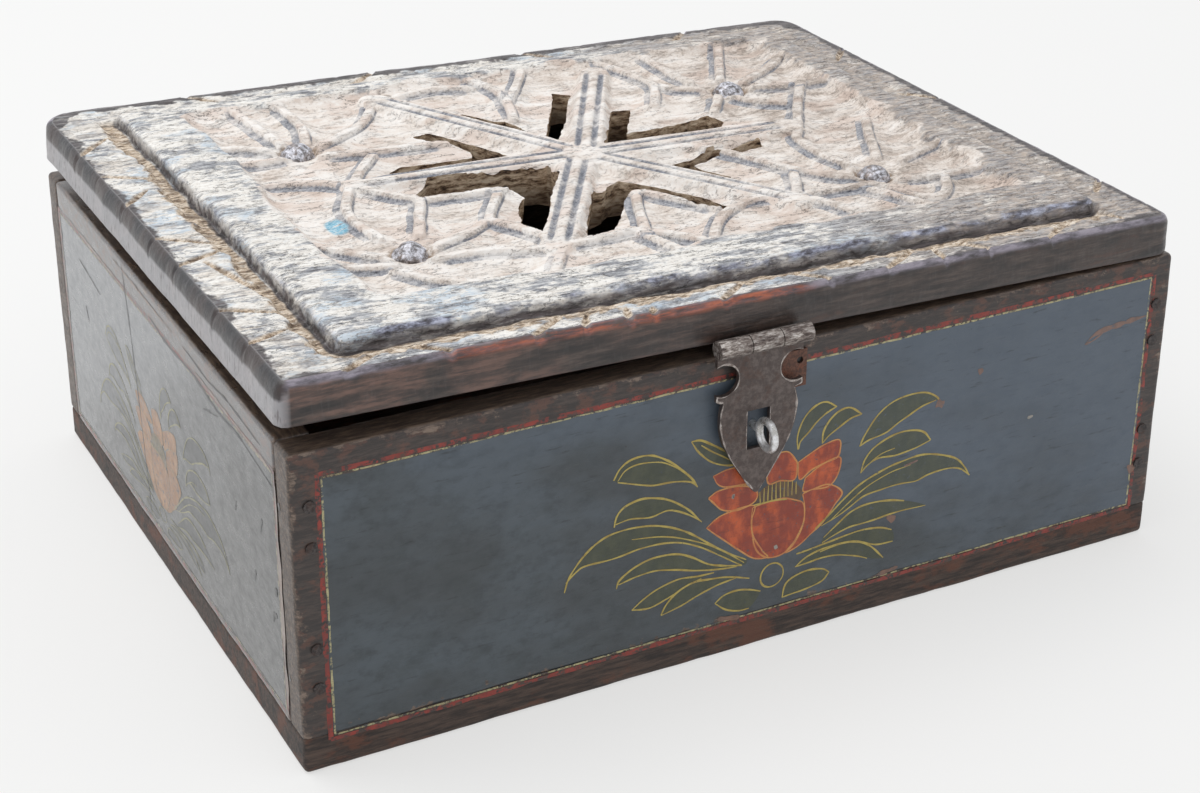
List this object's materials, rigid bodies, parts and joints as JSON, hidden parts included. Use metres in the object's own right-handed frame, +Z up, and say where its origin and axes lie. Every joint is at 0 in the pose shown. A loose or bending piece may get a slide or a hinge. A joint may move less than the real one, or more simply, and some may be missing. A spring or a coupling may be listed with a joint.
{
  "type": "wooden storage box",
  "caption": "Hand-made wooden box for papers and keepsakes: nailed painted boards, a carved and pierced hinged lid, and an iron hasp over an eye.",
  "frame": {"origin": "middle of the underside of the box, on the surface it stands on", "axes": "+X along the front to the right, +Y to the back, +Z up; the hasp is on the -Y side"},
  "size_m": [0.3021, 0.2547, 0.1248],
  "materials": {
    "painted_wood": "old slate-blue paint with worn brown edges",
    "bare_wood": "dark worn bare wood",
    "carved_wood": "carved, with worn whitewash over grey-brown wood",
    "dark_iron": "old dark iron, slightly rusty",
    "worn_bright_iron": "iron rubbed bright"
  },
  "bodies": {
    "box": {"front_board": "painted_wood", "back_board": "painted_wood", "left_board": "painted_wood", "right_board": "painted_wood", "bottom_board": "bare_wood", "front_left_nails": "dark_iron", "front_right_nails": "dark_iron", "back_left_nails": "dark_iron", "back_right_nails": "dark_iron", "bottom_nails": "dark_iron", "eye_pin": "worn_bright_iron", "patch_plate": "dark_iron", "patch_nail": "dark_iron", "hinge_left_body_leaf": "dark_iron", "hinge_left_pin": "dark_iron", "hinge_left_body_nails": "dark_iron", "hinge_right_body_leaf": "dark_iron", "hinge_right_pin": "dark_iron", "hinge_right_body_nails": "dark_iron"},
    "lid": {"lid_board": "carved_wood", "stud_front_left": "dark_iron", "stud_front_right": "dark_iron", "stud_back_left": "dark_iron", "stud_back_right": "dark_iron", "hinge_left_lid_leaf": "dark_iron", "hinge_left_lid_nails": "dark_iron", "hinge_right_lid_leaf": "dark_iron", "hinge_right_lid_nails": "dark_iron", "hasp_leaf": "dark_iron", "hasp_leaf_nails": "dark_iron", "hasp_pin": "dark_iron"},
    "hasp": {"hasp_plate": "dark_iron"}
  },
  "joints": [
    {"name": "lid_open", "type": "hinge", "parent": "box", "child": "lid", "pos_m": [0, 0.1203, 0.102], "axis": [-1, 0, 0], "range_deg": [0, 180]},
    {"name": "hasp_swing", "type": "hinge", "parent": "lid", "child": "hasp", "pos_m": [-0.006, -0.1227, 0.107], "axis": [-1, 0, 0], "range_deg": [0, 180]}
  ]
}
